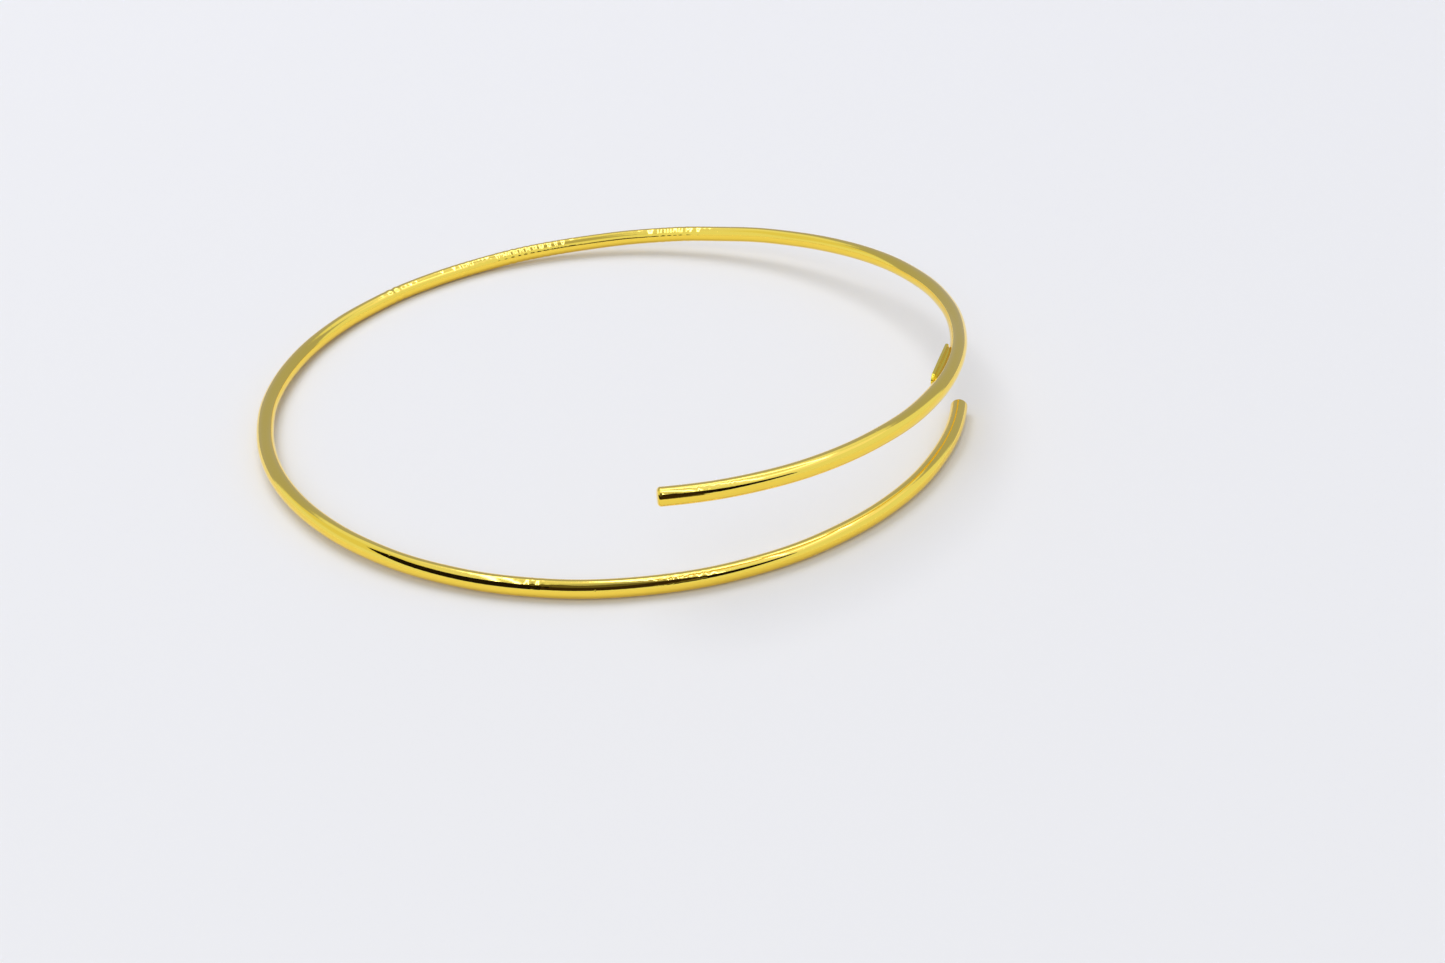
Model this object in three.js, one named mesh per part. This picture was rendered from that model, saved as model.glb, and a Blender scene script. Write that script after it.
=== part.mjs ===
// Wrap bangle: one springy gold-plated wire wound a little over one turn, with a small oval tag soldered inside it.
//
// Millimetres, +Z up. The bangle lies on the plane Z = 0 and its loop is centred on the Z axis.
// Angles are measured anticlockwise from +X, seen from above: the loop's overlap is at the front (-Y)
// and its middle is at the back (+Y). The wire is modelled as ten spans of equal length, end to end,
// so that it can bend where two spans meet. The upper five run from the raised end to the back, and
// the lower five from the back to the end that lies on the surface.

import * as THREE from 'three';
import { mergeVertices } from 'three/addons/utils/BufferGeometryUtils.js';

// ---------------------------------------------------------------- driving dimensions

const WIRE_DIAMETER = 1.5;
const INNER_DIAMETER = 60.3;           // the loop's clear width: bangle size 2-6, which is 2 6/16 inches
const MIDDLE = degrees(90);            // where the middle of the wire is
const TOTAL_TURN = degrees(431.5);     // from end to end, so the ends overlap by 71.5 degrees
const SPIRAL = 0.16;                   // the lower end lies this far outside the circle, the upper inside
const PITCH = 6.8;                     // fall of the wire in one full turn
const BOW = 1.66;                      // how far the bow lifts both ends above the middle
const SADDLE = 0.43;                   // height of the slight saddle that the loop was left with
const SADDLE_CREST = degrees(-33.6);
const LEAN = 1.18;                     // tilt of the loop as it rests, lowest at the back
const LEAN_FOOT = degrees(75.7);

const END_ROUNDING = 0.28;             // radius of the tumbled edge at both cut ends
const SPAN_GAP = 0.3;                  // clear space where two spans meet

const TAG_LENGTH = 7;
const TAG_HEIGHT = 1.3;
const TAG_THICKNESS = 0.28;
const TAG_EDGE = 0.05;                 // bevel round both faces of the tag
const TAG_ANGLE = degrees(-62);
const TAG_CLEARANCE = 0.03;            // between the tag's ends and the wire
const SOLDER_LENGTH = 5.4;
const SOLDER_HEIGHT = 0.8;
const SOLDER_CLEARANCE = 0.03;         // from the solder to the wire and to the tag

const ROUND_SIDES = 16;                // facets round the wire
const RINGS_PER_SPAN = 16;
const ROUNDING_STEPS = 3;

// ---------------------------------------------------------------- worked out from them

const wireRadius = WIRE_DIAMETER / 2;
const loopRadius = INNER_DIAMETER / 2 + wireRadius;     // to the centre of the wire
const upperEnd = MIDDLE - TOTAL_TURN / 2;
const spanTurn = TOTAL_TURN / 10;
const floorHeight = lowestHeight() - wireRadius;

function degrees(value) {
  return value * Math.PI / 180;
}

// Place along the wire: -1 at the upper end, 0 in the middle and 1 at the lower end.
function fromMiddle(angle) {
  return (angle - MIDDLE) / (TOTAL_TURN / 2);
}

// Height of the wire's centre before it is set down: a falling helix, bowed, saddled and leaning.
function woundHeight(angle) {
  return -PITCH * (angle - MIDDLE) / (2 * Math.PI)
    + BOW * fromMiddle(angle) ** 2
    + SADDLE * Math.cos(2 * (angle - SADDLE_CREST))
    - LEAN * Math.cos(angle - LEAN_FOOT);
}

function lowestHeight() {
  const samples = 2000;
  let lowest = Infinity;
  for (let i = 0; i <= samples; i += 1) {
    lowest = Math.min(lowest, woundHeight(upperEnd + TOTAL_TURN * i / samples));
  }
  return lowest;
}

function wireCentre(angle) {
  const radius = loopRadius + SPIRAL * fromMiddle(angle);
  return new THREE.Vector3(
    radius * Math.cos(angle),
    radius * Math.sin(angle),
    woundHeight(angle) - floorHeight,
  );
}

// Directions at an angle: along the wire, outwards from the loop, and square to both (nearly up).
function wireFrame(angle) {
  const step = 1e-4;
  const along = wireCentre(angle + step).sub(wireCentre(angle - step)).normalize();
  const out = new THREE.Vector3(Math.cos(angle), Math.sin(angle), 0);
  const up = new THREE.Vector3().crossVectors(out, along).normalize();
  out.crossVectors(along, up);
  return { along, out, up };
}

// ---------------------------------------------------------------- materials

const goldPlate = new THREE.MeshStandardMaterial({ color: '#d8b13c', roughness: 0.12, metalness: 1 });
const tagGold = new THREE.MeshStandardMaterial({ color: '#dcb52e', roughness: 0.2, metalness: 1 });
const solderGold = new THREE.MeshStandardMaterial({ color: '#c79a2a', roughness: 0.35, metalness: 1 });

// ---------------------------------------------------------------- the wire

// One span is turned on a lathe as a straight rod and then bent onto the loop. Only the two cut ends
// of the wire have a rounded edge.
function rodProfile(length, roundStart, roundEnd) {
  const points = [new THREE.Vector2(0, 0)];
  const edge = wireRadius - END_ROUNDING;
  if (roundStart) {
    for (let i = 0; i <= ROUNDING_STEPS; i += 1) {
      const turn = Math.PI / 2 * i / ROUNDING_STEPS;
      const inset = END_ROUNDING * (1 - Math.sin(turn));
      points.push(new THREE.Vector2(wireRadius - inset, END_ROUNDING * (1 - Math.cos(turn))));
    }
    points[1].x = edge;
  } else {
    points.push(new THREE.Vector2(wireRadius, 0));
  }
  const start = roundStart ? END_ROUNDING : 0;
  const stop = roundEnd ? length - END_ROUNDING : length;
  for (let i = 1; i < RINGS_PER_SPAN; i += 1) {
    points.push(new THREE.Vector2(wireRadius, THREE.MathUtils.lerp(start, stop, i / RINGS_PER_SPAN)));
  }
  if (roundEnd) {
    for (let i = 0; i <= ROUNDING_STEPS; i += 1) {
      const turn = Math.PI / 2 * i / ROUNDING_STEPS;
      const radius = edge + END_ROUNDING * Math.cos(turn);
      points.push(new THREE.Vector2(radius, stop + END_ROUNDING * Math.sin(turn)));
    }
  } else {
    points.push(new THREE.Vector2(wireRadius, length));
  }
  points.push(new THREE.Vector2(0, length));
  return points;
}

// Merges the seam and the poles of a turned shape, and drops the faces that collapse there.
function closeShell(geometry) {
  geometry.deleteAttribute('normal');
  geometry.deleteAttribute('uv');
  const merged = mergeVertices(geometry, 1e-4);
  const corners = merged.getIndex().array;
  const kept = [];
  for (let i = 0; i < corners.length; i += 3) {
    const [a, b, c] = corners.slice(i, i + 3);
    if (a !== b && b !== c && c !== a) {
      kept.push(a, b, c);
    }
  }
  merged.setIndex(kept);
  return merged;
}

// Moves a rod that stands on Y = 0 onto the loop, with its foot at startAngle.
function bendOntoLoop(geometry, startAngle) {
  const places = geometry.getAttribute('position');
  const corner = new THREE.Vector3();
  for (let i = 0; i < places.count; i += 1) {
    corner.fromBufferAttribute(places, i);
    const angle = startAngle + corner.y / loopRadius;
    const { out, up } = wireFrame(angle);
    const moved = wireCentre(angle).addScaledVector(out, corner.x).addScaledVector(up, corner.z);
    places.setXYZ(i, moved.x, moved.y, moved.z);
  }
  geometry.computeVertexNormals();
  return geometry;
}

function wireSpan(name, order) {
  const first = order === 0;
  const last = order === 9;
  const gapTurn = SPAN_GAP / 2 / loopRadius;
  const from = upperEnd + order * spanTurn + (first ? 0 : gapTurn);
  const to = upperEnd + (order + 1) * spanTurn - (last ? 0 : gapTurn);
  const rod = new THREE.LatheGeometry(rodProfile((to - from) * loopRadius, first, last), ROUND_SIDES);
  const mesh = new THREE.Mesh(bendOntoLoop(closeShell(rod), from), goldPlate);
  mesh.name = name;
  return mesh;
}

// ---------------------------------------------------------------- the tag and its solder

// Both are drawn flat, with X along the wire, Y up and Z outwards, and are turned into place together.
// The tag is straight, so it bridges the inside of the curve: its ends touch and its middle stands off.
const innerRadius = loopRadius - wireRadius;
const standOff = innerRadius - Math.sqrt(innerRadius ** 2 - (TAG_LENGTH / 2) ** 2);

function tagPlate() {
  const end = TAG_HEIGHT / 2 - TAG_EDGE;
  const reach = TAG_LENGTH / 2 - TAG_HEIGHT / 2;
  const outline = new THREE.Shape();
  outline.absarc(reach, 0, end, -Math.PI / 2, Math.PI / 2, false);
  outline.absarc(-reach, 0, end, Math.PI / 2, 3 * Math.PI / 2, false);
  outline.closePath();
  const geometry = new THREE.ExtrudeGeometry(outline, {
    depth: TAG_THICKNESS - 2 * TAG_EDGE,
    bevelThickness: TAG_EDGE,
    bevelSize: TAG_EDGE,
    bevelSegments: 1,
    curveSegments: 8,
  });
  geometry.translate(0, 0, TAG_EDGE - TAG_THICKNESS);
  const mesh = new THREE.Mesh(closeShell(geometry), tagGold);
  mesh.name = 'inner_tag';
  return mesh;
}

// The lens of solder between the tag's back and the hollow of the wire, as an outline seen from above.
function tagSolder() {
  const radius = innerRadius - SOLDER_CLEARANCE;
  const toCentre = innerRadius - standOff - TAG_CLEARANCE;
  const spread = Math.asin(SOLDER_LENGTH / 2 / radius);
  const outline = new THREE.Shape();
  outline.moveTo(-SOLDER_LENGTH / 2, SOLDER_CLEARANCE);
  outline.lineTo(SOLDER_LENGTH / 2, SOLDER_CLEARANCE);
  outline.absarc(0, -toCentre, radius, Math.PI / 2 - spread, Math.PI / 2 + spread, false);
  outline.closePath();
  const geometry = new THREE.ExtrudeGeometry(outline, {
    depth: SOLDER_HEIGHT,
    bevelEnabled: false,
    curveSegments: 6,
  });
  geometry.translate(0, 0, -SOLDER_HEIGHT / 2);
  geometry.rotateX(Math.PI / 2);
  const mesh = new THREE.Mesh(closeShell(geometry), solderGold);
  mesh.name = 'tag_solder';
  return mesh;
}

function tagAssembly() {
  const { along, out, up } = wireFrame(TAG_ANGLE);
  const group = new THREE.Group();
  const turned = new THREE.Matrix4().makeBasis(along, up, out);
  group.quaternion.setFromRotationMatrix(turned);
  const distance = wireRadius + standOff + TAG_CLEARANCE;
  group.position.copy(wireCentre(TAG_ANGLE)).addScaledVector(out, -distance);
  group.add(tagPlate(), tagSolder());
  return group;
}

// ---------------------------------------------------------------- assembly

const spanNames = [
  'upper_tip_wire',
  'upper_front_wire',
  'upper_side_wire',
  'upper_shoulder_wire',
  'upper_back_wire',
  'lower_back_wire',
  'lower_shoulder_wire',
  'lower_side_wire',
  'lower_front_wire',
  'lower_tip_wire',
];

const bangle = new THREE.Group();
bangle.name = 'wrap_bangle';
spanNames.forEach((name, order) => bangle.add(wireSpan(name, order)));
bangle.add(tagAssembly());

export default bangle;
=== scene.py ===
# %% [markdown]
# # A wrap bangle in gold-plated spring wire
#
# The bangle is one brass wire of 1.5 mm, wound a little over one turn so that its two ends pass each
# other, then tumbled and plated. A small oval tag is soldered inside the loop. This script models
# what the eye sees of it: the polished plating, the faint marks of the bending rolls, the tumbled
# ends, the softened tag and its solder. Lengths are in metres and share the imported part's frame.
#
# Two habits run through the file. Every shape is a grid of points worked out with numpy, so each has
# a formula that can be read and changed. Every pattern is laid out in the millimetres of the straight
# wire, before it was bent, because that is how the marks were made.

import bpy
import numpy as np
from mathutils import Matrix, Vector


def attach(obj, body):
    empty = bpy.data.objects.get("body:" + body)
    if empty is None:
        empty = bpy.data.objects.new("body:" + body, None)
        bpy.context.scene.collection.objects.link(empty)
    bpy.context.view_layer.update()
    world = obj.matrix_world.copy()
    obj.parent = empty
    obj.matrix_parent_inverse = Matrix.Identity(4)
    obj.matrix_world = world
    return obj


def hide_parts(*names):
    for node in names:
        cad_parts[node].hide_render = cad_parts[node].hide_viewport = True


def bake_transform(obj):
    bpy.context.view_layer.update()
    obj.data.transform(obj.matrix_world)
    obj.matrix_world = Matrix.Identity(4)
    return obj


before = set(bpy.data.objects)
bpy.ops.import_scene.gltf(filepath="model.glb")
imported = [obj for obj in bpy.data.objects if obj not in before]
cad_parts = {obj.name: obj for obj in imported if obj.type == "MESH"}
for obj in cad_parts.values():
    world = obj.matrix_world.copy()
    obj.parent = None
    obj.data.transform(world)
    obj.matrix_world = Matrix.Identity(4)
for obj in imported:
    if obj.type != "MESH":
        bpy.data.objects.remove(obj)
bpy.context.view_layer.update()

# %% [markdown]
# ## Two small helpers
#
# Colours are written as sRGB hex values, as a paint chart gives them, and one function turns them
# into the linear values that a renderer mixes. Shader nodes are all added by one short function.


# %%
def colour(hex_value):
    """Linear RGBA from an sRGB hex value such as "#d8b13c"."""
    channels = [int(hex_value[i : i + 2], 16) / 255 for i in (1, 3, 5)]
    return [c / 12.92 if c <= 0.04045 else ((c + 0.055) / 1.055) ** 2.4 for c in channels] + [1.0]


def add_node(tree, kind, links=None, **values):
    """Adds a node, sets its properties and unlinked sockets, and links the rest from other sockets."""
    node = tree.nodes.new(kind)
    for name, value in values.items():
        setattr(node, name, value)
    for socket, source in (links or {}).items():
        if isinstance(source, bpy.types.NodeSocket):
            tree.links.new(source, node.inputs[socket])
        else:
            node.inputs[socket].default_value = source
    return node


# %% [markdown]
# ## The line of the wire
#
# The wire's centre follows the same rule as the CAD part. It is a coil that falls by one pitch in
# each turn. Its bow lifts both ends, a slight saddle is left from the winding, and it leans as it
# rests. Angles run anticlockwise from +X seen from above, so the raised end comes first.

# %%
WIRE_RADIUS = 0.00075
LOOP_RADIUS = 0.03090
MIDDLE = np.radians(90)
TOTAL_TURN = np.radians(431.5)
SPIRAL = 0.00016
PITCH = 0.0068
BOW = 0.00166
SADDLE = 0.00043
SADDLE_CREST = np.radians(-33.6)
LEAN = 0.00118
LEAN_FOOT = np.radians(75.7)
UPPER_END = MIDDLE - TOTAL_TURN / 2
WIRE_LENGTH = TOTAL_TURN * LOOP_RADIUS


def wound_height(angle):
    """Height of the wire's centre before it is set down on the surface."""
    q = (angle - MIDDLE) / (TOTAL_TURN / 2)
    coil = -PITCH * (angle - MIDDLE) / (2 * np.pi) + BOW * q**2
    return coil + SADDLE * np.cos(2 * (angle - SADDLE_CREST)) - LEAN * np.cos(angle - LEAN_FOOT)


FLOOR_HEIGHT = wound_height(UPPER_END + TOTAL_TURN * np.linspace(0, 1, 2001)).min() - WIRE_RADIUS


def wire_centre(angle):
    """Points on the centre line of the wire at these angles, one row each."""
    angle = np.asarray(angle, float)
    radius = LOOP_RADIUS + SPIRAL * (angle - MIDDLE) / (TOTAL_TURN / 2)
    rise = wound_height(angle) - FLOOR_HEIGHT
    return np.stack([radius * np.cos(angle), radius * np.sin(angle), rise], -1)


def unit(rows):
    """Each row scaled to length 1."""
    return rows / np.linalg.norm(rows, axis=-1, keepdims=True)


def wire_frame(angle):
    """Unit directions at these angles: along the wire, outwards from the loop, and nearly up."""
    angle = np.asarray(angle, float)
    along = unit(wire_centre(angle + 1e-4) - wire_centre(angle - 1e-4))
    flat_out = np.stack([np.cos(angle), np.sin(angle), 0 * angle], -1)
    up = unit(np.cross(flat_out, along))
    return along, np.cross(along, up), up


print("wire: %.1f mm long, centre line from %s" % (WIRE_LENGTH * 1000, wire_centre(UPPER_END).round(4)))

# %% [markdown]
# ## Marks of making
#
# Wire that has been through bending rolls is never a perfect torus. Three faults show in a polish:
# a slow waver of the line over several millimetres, short groups of fine ripples across the wire
# where the rolls chattered, and a few small dents from tumbling. All are a few thousandths of a
# millimetre deep, and a mirror finish shows them anyway.

# %%
rng = np.random.default_rng(26)


def sum_of_waves(place, shortest, longest, count):
    """A random smooth curve over place, of about unit height: sines with wavelengths in a range."""
    lengths = np.exp(rng.uniform(np.log(shortest), np.log(longest), count))
    phases = rng.uniform(0, 2 * np.pi, count)
    weights = rng.uniform(0.5, 1.0, count)
    waves = np.sin(2 * np.pi * place[:, None] / lengths + phases) * weights
    return waves.sum(1) / np.sqrt((weights**2).sum() / 2)


# Where the rolls chattered: centre and half length of each group along the wire, and its strength.
CHATTER = [(0.0045, 0.0018, 0.12), (0.0862, 0.0030, 0.8), (0.1006, 0.0022, 1.0), (0.1046, 0.0018, 1.0)]
CHATTER += [(0.1087, 0.0010, 0.9), (0.1115, 0.0008, 0.9), (0.1174, 0.0018, 1.0)]
CHATTER += [(0.1843, 0.0012, 0.35), (0.1954, 0.0020, 0.35)]
# Nicks: place along the wire, turn from outwards to up, half length, half width round, and depth.
NICKS = [(0.0030, 62, 0.00006, 0.00030, 5e-6), (0.0054, 66, 0.00005, 0.00045, 6e-6)]
NICKS += [(0.0058, 60, 0.00005, 0.00035, 5e-6), (0.2105, -8, 0.00012, 0.00010, 7e-6)]
NICKS += [(0.2112, 4, 0.00010, 0.00012, 6e-6), (0.2119, -16, 0.00014, 0.00008, 7e-6)]
NICKS += [(0.2127, -4, 0.00009, 0.00009, 6e-6), (0.2301, 20, 0.00010, 0.00016, 9e-6)]
RIPPLE_DEPTH = 1e-5
WAVER = 10e-6


def chatter_strength(place):
    """How strong the ripples are along the wire: faint everywhere and strong inside each group."""
    strength = np.full_like(place, 0.02)
    for centre, half_length, amount in CHATTER:
        strength += amount * np.exp(-(((place - centre) / half_length) ** 2))
    return strength


def nick_depth(place, turn):
    """Depth of the nicks on a grid of places along the wire and turns round it."""
    depth = np.zeros((len(place), len(turn)))
    for centre, side, half_length, half_width, deepest in NICKS:
        away = (turn - np.radians(side) + np.pi) % (2 * np.pi) - np.pi
        along = np.exp(-(((place - centre) / half_length) ** 2))
        depth += deepest * along[:, None] * np.exp(-((away * WIRE_RADIUS / half_width) ** 2))[None]
    return depth


# %% [markdown]
# ## The whole wire as one grid
#
# The wire is first worked out as one grid of rings, from the raised end to the low end. Both ends are
# cut square, and tumbling rounds their edges. Normals are worked out on the same grid, so that
# when the grid is cut into pieces the cuts leave no line in the reflections.

# %%
ROUND = 72  # points round the wire
RINGS_PER_SPAN = 270  # rings in one tenth of the wire, which sets them 0.086 mm apart
END_ROUNDING = 0.00028
SPANS = 10


def ring_places():
    """Distance along the wire and radius of every ring: the end face, its rounded edge, the shank."""
    turn = np.linspace(0.12, np.pi / 2, 9)
    flat = WIRE_RADIUS - END_ROUNDING
    face = np.array([0.25, 0.5, 0.75])
    place = np.concatenate([0.00003 * face**2, 0.00003 + END_ROUNDING * (np.cos(0.12) - np.cos(turn))])
    radius = np.concatenate([flat * face, flat + END_ROUNDING * np.sin(turn)])
    shank = np.arange(1, SPANS * RINGS_PER_SPAN) / (SPANS * RINGS_PER_SPAN) * WIRE_LENGTH
    shank = shank[(shank > END_ROUNDING * 1.1) & (shank < WIRE_LENGTH - END_ROUNDING * 1.1)]
    place = np.concatenate([place, shank, WIRE_LENGTH - place[::-1]])
    radius = np.concatenate([radius, np.full(len(shank), WIRE_RADIUS), radius[::-1]])
    return place, radius


def wire_grid():
    """Points of the wire, (rings, ROUND, 3): rings about the centre line, with the marks of making."""
    place, radius = ring_places()
    angle = UPPER_END + place / LOOP_RADIUS
    _, out, up = wire_frame(angle)
    turn = 2 * np.pi * np.arange(ROUND) / ROUND
    waver_out = WAVER * sum_of_waves(place, 0.006, 0.020, 9)
    waver_up = WAVER * sum_of_waves(place, 0.006, 0.020, 9)
    ripple = RIPPLE_DEPTH * chatter_strength(place) * sum_of_waves(place, 0.0006, 0.0013, 60)
    ease = np.clip(np.minimum(place, WIRE_LENGTH - place) / 0.002, 0, 1)
    middle = wire_centre(angle) + (waver_out * ease)[:, None] * out + (waver_up * ease)[:, None] * up
    reach = ((radius + ripple * ease)[:, None] - nick_depth(place, turn))[..., None]
    ring = np.cos(turn)[None, :, None] * out[:, None] + np.sin(turn)[None, :, None] * up[:, None]
    return place, middle, middle[:, None] + reach * ring, out, up


def grid_normals(grid):
    """Outward unit normals of a grid of rings, from the steps to its neighbours."""
    along = np.gradient(grid, axis=0)
    across = np.roll(grid, -1, 1) - np.roll(grid, 1, 1)
    return unit(np.cross(along, across))


ring_place, ring_middle, wire_points, ring_out, ring_up = wire_grid()
wire_normals = grid_normals(wire_points)
print("wire grid:", wire_points.shape[0], "rings of", ROUND)

# %% [markdown]
# ## From grids to meshes
#
# One function turns a run of rings into a closed mesh. Each end is shut with a fan to a centre point.
# It also stores, for every point, where that point was on the straight wire in millimetres, and the
# finishes use that for their patterns.


# %%
def make_mesh(name, points, quads, triangles, normals, straight, material):
    """A smooth mesh object from arrays, with its own normals and its places on the straight wire."""
    mesh = bpy.data.meshes.new(name)
    corners = np.concatenate([np.ravel(quads), np.ravel(triangles)]).astype(np.int32)
    starts = np.concatenate([4 * np.arange(len(quads)), 4 * len(quads) + 3 * np.arange(len(triangles))])
    mesh.vertices.add(len(points))
    mesh.vertices.foreach_set("co", np.ravel(points).astype(np.float32))
    mesh.loops.add(len(corners))
    mesh.loops.foreach_set("vertex_index", corners)
    mesh.polygons.add(len(starts))
    mesh.polygons.foreach_set("loop_start", starts.astype(np.int32))
    mesh.update(calc_edges=True)
    mesh.validate()
    mesh.shade_smooth()
    mesh.normals_split_custom_set_from_vertices(unit(np.asarray(normals, float)).tolist())
    place = mesh.attributes.new("straight_mm", "FLOAT_VECTOR", "POINT")
    place.data.foreach_set("vector", (np.ravel(straight) * 1000).astype(np.float32))
    mesh.materials.append(material)
    piece = bpy.data.objects.new(name, mesh)
    bpy.context.scene.collection.objects.link(piece)
    return piece


def tube_faces(rings, around):
    """Outward quads between rings and the two fans that shut the ends, with centres stored last."""
    i, j = np.meshgrid(np.arange(rings - 1), np.arange(around), indexing="ij")
    here, there = i * around, (i + 1) * around
    k = (j + 1) % around
    quads = np.stack([here + j, there + j, there + k, here + k], -1).reshape(-1, 4)
    j, k = np.arange(around), (np.arange(around) + 1) % around
    first, last = rings * around, rings * around + 1
    foot = np.stack([j, k, np.full(around, first)], -1)
    head = np.stack([(rings - 1) * around + k, (rings - 1) * around + j, np.full(around, last)], -1)
    return quads, np.concatenate([foot, head])


# %% [markdown]
# ## Finishes
#
# The wire is polished brass under yellow gold plating. Gold takes the blue out of what it mirrors,
# and most strongly where the plating is thick, so the base colour is strong. Tumbling leaves a
# slight haze with very fine lines. The tag is stamped sheet under the same plating, and the solder
# has flowed, so each is a little softer to the eye.


# %%
def gold_finish(name, hex_value, roughness, line_depth, pit_depth):
    """Polished yellow gold plating: a mirror with fine tumbling lines, faint cross marks and pits."""
    material = bpy.data.materials.new(name)
    material.use_nodes = True
    tree = material.node_tree
    tree.nodes.clear()
    place = add_node(tree, "ShaderNodeAttribute", attribute_name="straight_mm").outputs["Vector"]
    # Tumbling lines run at all slants, about 0.05 mm wide and a few tenths of a millimetre long.
    stretched = add_node(
        tree, "ShaderNodeVectorMath", {0: place, 1: (3.0, 14.0, 14.0)}, operation="MULTIPLY"
    ).outputs[0]
    lines = add_node(tree, "ShaderNodeTexNoise", {"Vector": stretched, "Scale": 1.0, "Detail": 3.0})
    # The rolls leave faint marks across the wire, one every 0.3 mm or so.
    crossed = add_node(
        tree, "ShaderNodeVectorMath", {0: place, 1: (3.2, 0.35, 0.35)}, operation="MULTIPLY"
    ).outputs[0]
    marks = add_node(tree, "ShaderNodeTexNoise", {"Vector": crossed, "Scale": 1.0, "Detail": 2.0})
    # Pits are 0.05 to 0.15 mm wide and rare.
    grains = add_node(
        tree, "ShaderNodeTexVoronoi", {"Vector": place, "Scale": 1.1}, feature="F1"
    ).outputs["Distance"]
    pits = add_node(
        tree,
        "ShaderNodeMapRange",
        {0: grains, 1: 0.03, 2: 0.09, 3: -1.0, 4: 0.0},
        interpolation_type="SMOOTHSTEP",
    ).outputs[0]
    relief = {"Height": lines.outputs["Fac"], "Strength": 1.0, "Distance": line_depth}
    bumps = add_node(tree, "ShaderNodeBump", relief)
    for height, depth in ((marks.outputs["Fac"], line_depth * 2), (pits, pit_depth)):
        relief = {"Height": height, "Strength": 1.0, "Distance": depth, "Normal": bumps.outputs[0]}
        bumps = add_node(tree, "ShaderNodeBump", relief)
    spread = {0: lines.outputs["Fac"], 1: 0.3, 2: 0.7, 3: roughness * 0.7, 4: roughness * 1.3}
    haze = add_node(tree, "ShaderNodeMapRange", spread).outputs[0]
    surface = add_node(
        tree,
        "ShaderNodeBsdfPrincipled",
        {"Base Color": colour(hex_value), "Metallic": 1.0, "Roughness": haze, "Normal": bumps.outputs[0]},
    )
    add_node(tree, "ShaderNodeOutputMaterial", {"Surface": surface.outputs[0]})
    return material


wire_gold = gold_finish("polished_gold_plating", "#ffdc54", 0.055, 0.0000006, 0.000004)
tag_gold = gold_finish("stamped_gold_plating", "#ffe040", 0.10, 0.0000014, 0.000008)
solder_gold = gold_finish("flowed_solder_under_plating", "#ffdc28", 0.16, 0.000003, 0.000008)
print("finishes:", [m.name for m in bpy.data.materials])

# %% [markdown]
# ## The wire in nine pieces
#
# The real wire is one piece that springs. Here it is nine pieces of the one grid, and each runs over
# the whole length between the middles of two CAD spans, across the joint between them. The CAD wire
# of those two spans is hidden.

# %%
BODIES = ["upper_tip", "upper_front", "upper_side", "upper_shoulder", "upper_back"]
BODIES += ["lower_back", "lower_shoulder", "lower_side", "lower_front", "lower_tip"]
PIECES = ["wire_raised_end", "wire_upper_front", "wire_right_side", "wire_right_back", "wire_back"]
PIECES += ["wire_left_back", "wire_left_side", "wire_lower_front", "wire_low_end"]


def wire_piece(order):
    """Piece number order of the wire: from the middle of one span to the middle of the next."""
    span = WIRE_LENGTH / SPANS
    begin = 0.0 if order == 0 else (order + 0.5) * span
    stop = WIRE_LENGTH if order == SPANS - 2 else (order + 1.5) * span
    low = int(np.argmin(abs(ring_place - begin)))
    high = int(len(ring_place) - 1 - np.argmin(abs(ring_place[::-1] - stop))) + 1
    points = wire_points[low:high].reshape(-1, 3)
    normals = wire_normals[low:high].reshape(-1, 3)
    turn = 2 * np.pi * np.arange(ROUND) / ROUND
    count = high - low
    lengths = np.repeat(ring_place[low:high], ROUND)
    straight = np.stack(
        [lengths, np.tile(WIRE_RADIUS * np.cos(turn), count), np.tile(WIRE_RADIUS * np.sin(turn), count)], -1
    )
    ends = ring_middle[[low, high - 1]]
    along, _, _ = wire_frame(UPPER_END + ring_place[[low, high - 1]] / LOOP_RADIUS)
    quads, fans = tube_faces(count, ROUND)
    end_places = [[ring_place[low], 0, 0], [ring_place[high - 1], 0, 0]]
    piece = make_mesh(
        PIECES[order],
        np.concatenate([points, ends]),
        quads,
        fans,
        np.concatenate([normals, [-along[0], along[1]]]),
        np.concatenate([straight, end_places]),
        wire_gold,
    )
    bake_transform(piece)
    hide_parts(BODIES[order] + "_wire", BODIES[order + 1] + "_wire")
    return piece


wire_pieces = [wire_piece(order) for order in range(SPANS - 1)]
print("wire pieces:", len(wire_pieces), "with", sum(len(p.data.polygons) for p in wire_pieces), "faces")

# %% [markdown]
# ## The tag
#
# The tag is a stadium of thin sheet, stamped out and plated. Its edges are soft, and its face is a
# little crowned from tumbling. It is straight, so it bridges the hollow of the curve. Whatever was
# stamped on it is left off.

# %%
TAG_LENGTH = 0.007
TAG_HEIGHT = 0.0013
TAG_THICKNESS = 0.00028
TAG_EDGE = 0.00009
TAG_CLEARANCE = 0.00003
TAG_ANGLE = np.radians(-62)
INNER_RADIUS = LOOP_RADIUS - WIRE_RADIUS
STAND_OFF = INNER_RADIUS - np.sqrt(INNER_RADIUS**2 - (TAG_LENGTH / 2) ** 2)
TAG_BACK = wire_centre(TAG_ANGLE) - wire_frame(TAG_ANGLE)[1] * (WIRE_RADIUS + STAND_OFF + TAG_CLEARANCE)


def place_on_wire(points):
    """Turns points drawn with X along the wire, Y up and Z outwards into place at the tag's back."""
    along, out, up = wire_frame(TAG_ANGLE)
    return TAG_BACK + points[:, :1] * along + points[:, 1:2] * up + points[:, 2:] * out


def turn_on_wire(directions):
    """The same turn for directions."""
    return place_on_wire(directions) - TAG_BACK


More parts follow.
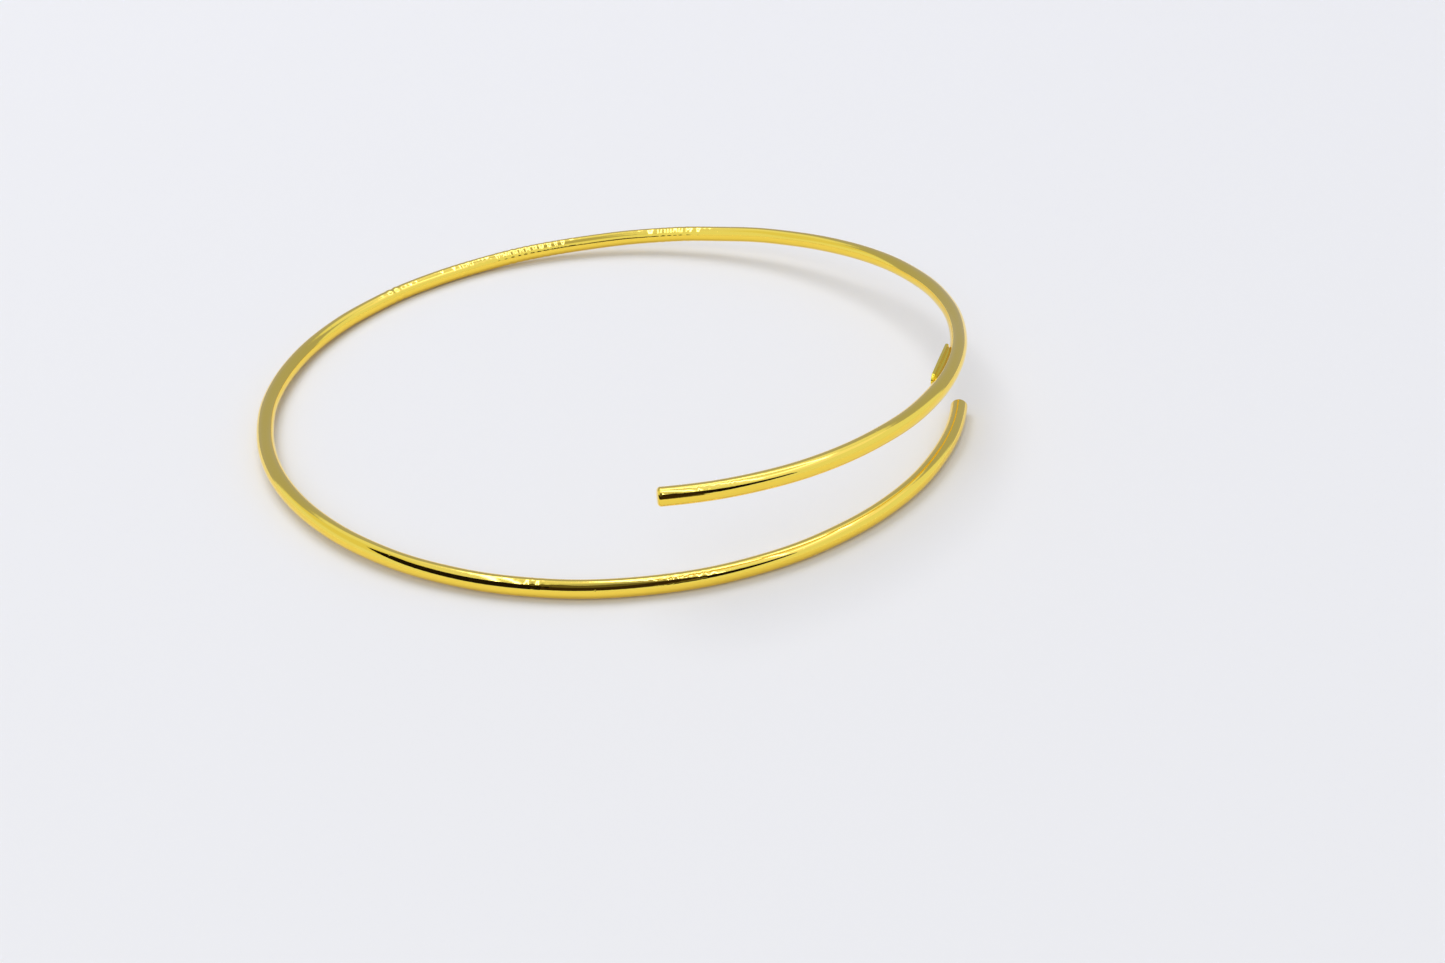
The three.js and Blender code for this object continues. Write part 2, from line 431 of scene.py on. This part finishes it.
def stadium(inset, count=160):
    """Outline of the tag drawn in by inset, as (count, 2), anticlockwise from the front end's tip."""
    radius = TAG_HEIGHT / 2 - inset
    reach = TAG_LENGTH / 2 - TAG_HEIGHT / 2
    turn = 2 * np.pi * (np.arange(count) + 0.5) / count
    x = np.cos(turn) * radius + reach * np.clip(np.cos(turn) * 3, -1, 1)
    return np.stack([x, np.sin(turn) * radius], -1)


def tag_plate():
    """The tag: rings of the stadium from the middle of its back, round its edge, to its front."""
    steps = np.linspace(0, np.pi / 2, 7)
    inset = [0.00062, 0.0005, 0.0003, 0.00015] + list(TAG_EDGE * (1 - np.sin(steps)))
    depth = [0.0] * 4 + list(-TAG_EDGE * (1 - np.cos(steps)))
    inset += list(TAG_EDGE * (1 - np.cos(steps[1:]))) + [0.00015, 0.0003, 0.0005, 0.00062]
    crown = [-TAG_THICKNESS + v for v in (-0.000008, -0.000018, -0.000026, -0.000028)]
    depth += list(-TAG_THICKNESS + TAG_EDGE * (1 - np.sin(steps[1:]))) + crown
    rings = np.stack([np.c_[stadium(i), np.full(160, d)] for i, d in zip(inset, depth)])
    normals = grid_normals(rings)
    normals[:4] = (0, 0, 1)
    normals[-4:] = (0, 0, -1)
    quads, fans = tube_faces(len(rings), 160)
    flat = rings.reshape(-1, 3)
    ends = np.array([[0, 0, depth[0]], [0, 0, depth[-1]]])
    points = np.concatenate([flat, ends])
    directions = np.concatenate([normals.reshape(-1, 3), [[0, 0, 1], [0, 0, -1]]])
    piece = make_mesh(
        "oval_tag",
        place_on_wire(points),
        quads,
        fans,
        turn_on_wire(directions),
        points,
        tag_gold,
    )
    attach(piece, "upper_front")
    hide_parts("inner_tag")
    return piece


tag = tag_plate()
print("tag:", len(tag.data.polygons), "faces")

# %% [markdown]
# ## The solder
#
# Solder runs into the gap between the tag and the wire and draws itself into a hollow fillet. It is
# thickest at the middle, where the straight tag stands off from the curve, and thins towards
# both ends.

# %%
SOLDER_LENGTH = 0.0065
SOLDER_HALF_HEIGHT = 0.00052
SOLDER_TAPER = 0.45  # share of its height that it loses at both ends
SOLDER_HOLLOW = 0.42  # depth of the fillet's hollow, as a share of the gap it spans


def solder_fillet():
    """The solder: closed rings along the tag, each from the tag's back to the side of the wire."""
    stations = np.linspace(-1, 1, 61)
    rings = []
    for s in stations:
        x = s * SOLDER_LENGTH / 2
        half = SOLDER_HALF_HEIGHT * (1 - SOLDER_TAPER * abs(s) ** 5)
        middle = STAND_OFF + TAG_CLEARANCE + WIRE_RADIUS - (LOOP_RADIUS - np.sqrt(LOOP_RADIUS**2 - x**2))
        y = np.linspace(-half, half, 11)
        wire_side = middle - np.sqrt(WIRE_RADIUS**2 - y**2) + 0.00002
        t = np.linspace(0, 1, 9)[1:-1]
        hollow = half - SOLDER_HOLLOW * (wire_side[-1] + 0.00001) * 4 * t * (1 - t)
        top = np.c_[np.full(7, x), hollow, wire_side[-1] * (1 - t) - 0.00001 * t]
        tag_side = np.c_[np.full(11, x), y[::-1], np.full(11, -0.00001)]
        bottom = np.c_[np.full(7, x), -hollow[::-1], (wire_side[0] * (1 - t) - 0.00001 * t)[::-1]]
        rings.append(np.concatenate([np.c_[np.full(11, x), y, wire_side], top, tag_side, bottom]))
    rings = np.stack(rings)
    count = rings.shape[1]
    normals = grid_normals(rings)
    quads, fans = tube_faces(len(rings), count)
    ends = rings[[0, -1]].mean(1)
    points = np.concatenate([rings.reshape(-1, 3), ends])
    directions = np.concatenate([normals.reshape(-1, 3), [[-1, 0, 0], [1, 0, 0]]])
    piece = make_mesh(
        "tag_solder_fillet", place_on_wire(points), quads, fans, turn_on_wire(directions), points, solder_gold
    )
    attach(piece, "upper_front")
    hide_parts("tag_solder")
    return piece


solder = solder_fillet()
print("solder:", len(solder.data.polygons), "faces")

# %% [markdown]
# ## The floor
#
# The bangle rests on a plain pale floor. It is matt, so all it shows of the bangle is a soft shadow.


# %%
def floor_sheet():
    """The pale floor: a disc of 4 m across in the plane of rest."""
    turn = 2 * np.pi * np.arange(96) / 96
    rim = np.stack([2.0 * np.cos(turn), 2.0 * np.sin(turn), 0 * turn], -1)
    mesh = bpy.data.meshes.new("pale_floor")
    mesh.from_pydata(rim.tolist(), [], [list(range(96))])
    material = bpy.data.materials.new("pale_matt_floor")
    material.use_nodes = True
    surface = material.node_tree.nodes["Principled BSDF"]
    surface.inputs["Base Color"].default_value = colour("#efeff1")
    surface.inputs["Roughness"].default_value = 0.9
    surface.inputs["Specular IOR Level"].default_value = 0.2
    mesh.materials.append(material)
    sheet = bpy.data.objects.new("pale_floor", mesh)
    bpy.context.scene.collection.objects.link(sheet)
    return sheet


floor = floor_sheet()
print("floor:", floor.name)

# %% [markdown]
# ## Things that only the metal sees
#
# A polished metal shows little but its surroundings, so part of the studio exists for reflections
# alone. These two functions make such things: a grid of points becomes a glowing sheet that the
# camera, the floor and the shadows ignore.


# %%
def grid_faces(rows, columns):
    """Quads over a grid of rows x columns points."""
    i, j = np.meshgrid(np.arange(rows - 1), np.arange(columns - 1), indexing="ij")
    corner = i * columns + j
    return np.stack([corner, corner + columns, corner + columns + 1, corner + 1], -1).reshape(-1, 4)


def mirrored_sheet(name, points, light):
    """A sheet that only reflections see. Its light is one colour, or one for each point."""
    mesh = bpy.data.meshes.new(name)
    mesh.from_pydata(points.reshape(-1, 3).tolist(), [], grid_faces(*points.shape[:2]).tolist())
    material = bpy.data.materials.new(name)
    material.use_nodes = True
    tree = material.node_tree
    tree.nodes.clear()
    if isinstance(light, np.ndarray):
        tint = mesh.attributes.new("sheet_light", "FLOAT_COLOR", "POINT")
        tint.data.foreach_set("color", np.ravel(light).astype(np.float32))
        light = add_node(tree, "ShaderNodeAttribute", attribute_name="sheet_light").outputs["Color"]
    glow = add_node(tree, "ShaderNodeEmission", {"Color": light, "Strength": 1.0})
    add_node(tree, "ShaderNodeOutputMaterial", {"Surface": glow.outputs[0]})
    mesh.materials.append(material)
    sheet = bpy.data.objects.new(name, mesh)
    bpy.context.scene.collection.objects.link(sheet)
    sheet.visible_camera = False
    sheet.visible_diffuse = False
    sheet.visible_shadow = False
    return sheet


def directions(azimuth, elevation):
    """Unit directions from azimuths and elevations in radians."""
    flat = np.cos(elevation)
    return np.stack([flat * np.cos(azimuth), flat * np.sin(azimuth), np.sin(elevation)], -1)


print("helpers ready for sheets that only the metal mirrors")

# %% [markdown]
# ## The light tent
#
# The tent is a dome with a pale wall. It is dimmer low down beyond the loop, high above the camera
# and overhead. A few panels differ a little and one narrow panel is bright. Strip lights cross it
# high up, along the lines that the back of the wire mirrors, and they make the rolls' ripples flash.

# %%
# Each patch of the tent: azimuths, elevations, softness of the edge (all degrees) and linear colour.
TENT = [
    ((-14, 108), (-9, 41), 5, (0.42, 0.46, 0.80)),
    ((200, 262), (54, 82), 8, (0.46, 0.48, 0.65)),
    ((282, 345), (38, 60), 5, (0.95, 1.00, 1.60)),
    ((105, 150), (24, 60), 7, (0.75, 0.78, 0.70)),
    ((5, 75), (46, 64), 5, (0.88, 0.96, 1.60)),
    ((60, 200), (60, 79), 5, (0.78, 0.86, 1.20)),
    ((262, 335), (60, 80), 4, (0.88, 0.98, 1.60)),
    ((-25, 45), (68, 80), 4, (0.66, 0.72, 1.20)),
    ((-62, -5), (52, 58), 2, (1.60, 1.80, 3.40)),
    ((-360, 360), (80, 99), 4, (0.44, 0.48, 0.75)),
]
TENT_WALL = (0.80, 0.89, 1.15)
# Strip lights lie along the line that the wire mirrors at these angles, so its chatter marks flash.
STRIP_ANGLES = np.radians([33, 38, 61, 67, 78, 92])
STRIP_HALF_WIDTH = 0.011
STRIP_LIGHT = (5.0, 5.4, 12.0)
VIEWPOINT = np.array((-0.093010, -0.108682, 0.080480))  # where the camera stands


def tent_colour(azimuth, elevation):
    """Linear colour of the tent in each direction: the wall, then each patch laid over it."""
    shade = np.tile(np.array(TENT_WALL), azimuth.shape + (1,))
    for (left, right), (low, high), soft, tint in TENT:
        turned = (azimuth - (left + right) / 2 + 180) % 360 - 180
        inside = np.minimum((right - left) / 2 - abs(turned), np.minimum(elevation - low, high - elevation))
        cover = np.clip(inside / soft + 0.5, 0, 1)[..., None]
        cover = cover * cover * (3 - 2 * cover)
        shade = shade * (1 - cover) + np.array(tint) * cover
    return shade


def strip_cover(points):
    """How much of each tent point a strip light covers: 1 on the line mirrored at a strip's angle."""
    cover = np.zeros(points.shape[:-1])
    for angle in STRIP_ANGLES:
        middle, along = wire_centre(angle), wire_frame(angle)[0]
        mirrored = -unit(VIEWPOINT - middle) @ along
        away = abs(unit(points - middle) @ along - mirrored)
        cover = np.maximum(cover, np.clip(1.5 - away / STRIP_HALF_WIDTH, 0, 1))
    high = np.clip((points[..., 2] / np.linalg.norm(points, axis=-1) - 0.76) / 0.05, 0, 1)
    return (cover * high)[..., None]


def light_tent(radius=1.5, columns=480, rows=122):
    """The dome round the floor, coloured point by point."""
    azimuth, elevation = np.meshgrid(np.linspace(0, 360, columns + 1), np.linspace(-1, 90, rows))
    points = radius * directions(np.radians(azimuth), np.radians(elevation))
    cover = strip_cover(points)
    shade = tent_colour(azimuth, elevation) * (1 - cover) + np.array(STRIP_LIGHT) * cover
    return mirrored_sheet("light_tent", points, np.concatenate([shade, np.ones(azimuth.shape + (1,))], -1))


tent = light_tent()
print("tent:", len(tent.data.polygons), "faces")

# %% [markdown]
# ## Dark cards
#
# Polished wire needs something dark to mirror, or it looks flat. Five dark cards stand 20 to 35 mm
# from the front of the wire. They give the near-black lines along the low strand and near the raised
# end, and they are placed for this camera.


# %%
CARD_COLUMNS = 25
CARD_ROWS = 13


def dark_card(name, near, azimuth, first_edge, last_edge, distance, tint):
    """A dark card bent round a point near the wire that mirrors it.

    Its height runs from the elevations of its first edge to those of its last edge, in degrees.
    """
    turn = np.radians(np.linspace(*azimuth, CARD_COLUMNS))
    a, share = np.meshgrid(turn, np.linspace(0, 1, CARD_ROWS))
    bottom = np.linspace(first_edge[0], last_edge[0], CARD_COLUMNS)
    top = np.linspace(first_edge[1], last_edge[1], CARD_COLUMNS)
    points = np.array(near) + distance * directions(a, np.radians(bottom + (top - bottom) * share))
    return mirrored_sheet(name, points, tint + (1.0,))


LOW_STRAND = (-0.025, -0.018, 0.001)
RAISED_TIP = (-0.015, -0.027, 0.008)
dark_card("left_card", LOW_STRAND, (118, 168), (17, 28), (9, 57), 0.020, (0.010, 0.007, 0.004))
dark_card("middle_card", LOW_STRAND, (168, 208), (9, 57), (9, 54), 0.020, (0.010, 0.007, 0.004))
dark_card("lens_card", LOW_STRAND, (204, 296), (12, 50), (26, 46), 0.021, (0.030, 0.019, 0.010))
dark_card("sleeve_card", LOW_STRAND, (184, 286), (12, 84), (16, 72), 0.024, (0.125, 0.120, 0.100))
dark_card("front_card", RAISED_TIP, (-128, -66), (2, 58), (18, 27), 0.035, (0.008, 0.005, 0.003))
print("dark cards: 5")

# %% [markdown]
# ## Lamps and sky
#
# Two large soft lamps and a pale sky light the floor and make the soft shadow. The metal doesn't
# mirror the lamps. The standard view transform keeps the gold as saturated as its base colour.


# %%
def soft_lamp(name, place, size, power, hex_value):
    """A large soft lamp aimed at the bangle, left out of reflections."""
    light = bpy.data.lights.new(name, "AREA")
    light.shape = "DISK"
    light.size = size
    light.energy = power
    light.color = colour(hex_value)[:3]
    lamp = bpy.data.objects.new(name, light)
    lamp.location = place
    lamp.rotation_euler = Vector(place).to_track_quat("Z", "Y").to_euler()
    lamp.visible_glossy = False
    bpy.context.scene.collection.objects.link(lamp)
    return lamp


soft_lamp("main_softbox", (0.15, 0.55, 1.3), 1.3, 9.5, "#fffdf8")
soft_lamp("fill_softbox", (-0.8, -0.5, 0.9), 1.0, 3.5, "#f8faff")

world = bpy.data.worlds.new("pale_studio")
bpy.context.scene.world = world
world.use_nodes = True
world.node_tree.nodes["Background"].inputs["Color"].default_value = colour("#e9ebf0")
world.node_tree.nodes["Background"].inputs["Strength"].default_value = 0.6
bpy.context.scene.view_settings.view_transform = "Standard"
print("lamps and sky set")

# %% [markdown]
# ## The camera
#
# A normal lens at about 16 cm looks down on the overlap of the two ends from the front left.

# %%
camera_data = bpy.data.cameras.new("camera")
camera_data.sensor_width = 36.0
camera_data.lens = 44.92
camera_data.clip_start = 0.005
camera = bpy.data.objects.new("camera", camera_data)
right = Vector((0.699462, -0.713885, -0.033488)).normalized()
up = Vector((0.401140, 0.353393, 0.845103)).normalized()
back = right.cross(up)
turned = Matrix((right, up, back)).transposed().to_4x4()
camera.matrix_world = Matrix.Translation(VIEWPOINT) @ turned
bpy.context.scene.collection.objects.link(camera)
bpy.context.scene.camera = camera
print("camera:", round(camera_data.lens, 2), "mm lens")
